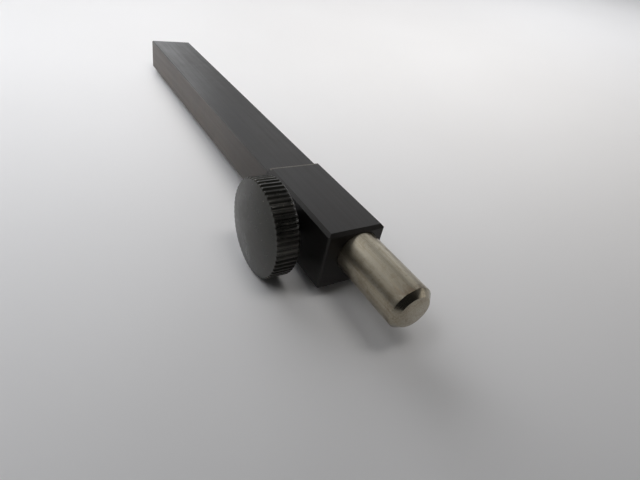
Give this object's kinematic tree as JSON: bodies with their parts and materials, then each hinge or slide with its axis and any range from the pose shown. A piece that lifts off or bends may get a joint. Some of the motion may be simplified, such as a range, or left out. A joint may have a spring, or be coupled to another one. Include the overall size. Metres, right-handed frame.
{
  "type": "scriber holder",
  "caption": "Rectangular black steel holding bar with a clamp head, a ground round pin in its bore and a knurled thumb screw that clamps the pin.",
  "frame": {"origin": "centre of the shank's plain end face", "axes": "the shank runs from the origin towards -Y and the pin points along -Y; the thumb screw stands out along -X; +Z is across the shank's narrower way, towards the side where the head stands up least"},
  "size_m": [0.0239, 0.1419, 0.0208],
  "materials": {
    "black_oxide_bar": "black oxide over milled steel",
    "ground_steel": "ground bright",
    "brass_pad": "turned",
    "black_oxide_screw": "black oxide, satin face"
  },
  "bodies": {
    "holder": {"holder_bar": "black_oxide_bar"},
    "pin": {"ground_pin": "ground_steel"},
    "pad": {"clamp_pad": "brass_pad"},
    "screw": {"thumb_screw": "black_oxide_screw"}
  },
  "joints": [
    {"name": "pin_slide", "type": "slide", "parent": "holder", "child": "pin", "axis": [0, -1, 0], "range_m": [-0.0018, 0.02]},
    {"name": "screw_feed", "type": "slide", "parent": "holder", "child": "pad", "axis": [-1, 0, 0], "range_m": [0, 0.00159]},
    {"name": "screw_turn", "type": "hinge", "parent": "pad", "child": "screw", "pos_m": [-0.00675, -0.111, 0.00017], "axis": [-1, 0, 0], "range_deg": [-5, 725]}
  ],
  "couplings": [
    {"joint": "screw_turn", "follows": "screw_feed", "rad_per_m": 7915.8}
  ]
}
